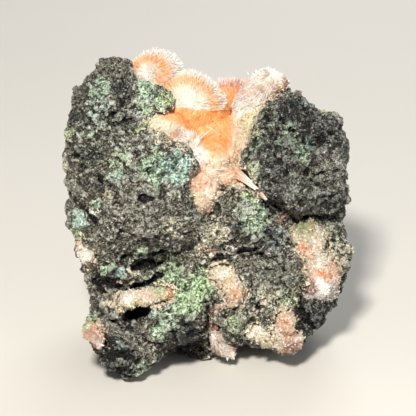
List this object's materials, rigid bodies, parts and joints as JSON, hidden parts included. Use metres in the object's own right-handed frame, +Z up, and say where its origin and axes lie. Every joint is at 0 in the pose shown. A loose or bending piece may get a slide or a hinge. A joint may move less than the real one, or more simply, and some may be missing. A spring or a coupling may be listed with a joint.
{
  "type": "thomsonite with mesolite cluster",
  "caption": "Hand specimen of orange radiating thomsonite and white mesolite needles in a V-shaped pocket of dark vesicular basalt, standing on its broken base.",
  "frame": {"origin": "middle of the overall bounding box, on the table that the base stands on", "axes": "+Z up from the table, -Y towards the viewer of the crystal face, +X to that viewer's right"},
  "size_m": [0.1018, 0.089, 0.1034],
  "materials": {
    "basalt": "rough dark basalt, broken, with pale green and white specks",
    "pocket_crust": "silky to fuzzy radiating needles, orange with white tips",
    "small_pocket_crust": "granular, cream to pink"
  },
  "bodies": {
    "root": {"basalt_matrix": "basalt", "thomsonite_mesolite_crust": "pocket_crust", "thomsonite_right_pocket": "small_pocket_crust", "thomsonite_right_foot": "small_pocket_crust", "thomsonite_mid_pocket": "small_pocket_crust", "thomsonite_ledge": "small_pocket_crust", "thomsonite_left_edge": "small_pocket_crust", "thomsonite_left_foot": "small_pocket_crust", "thomsonite_arch_seam": "small_pocket_crust"}
  },
  "joints": []
}
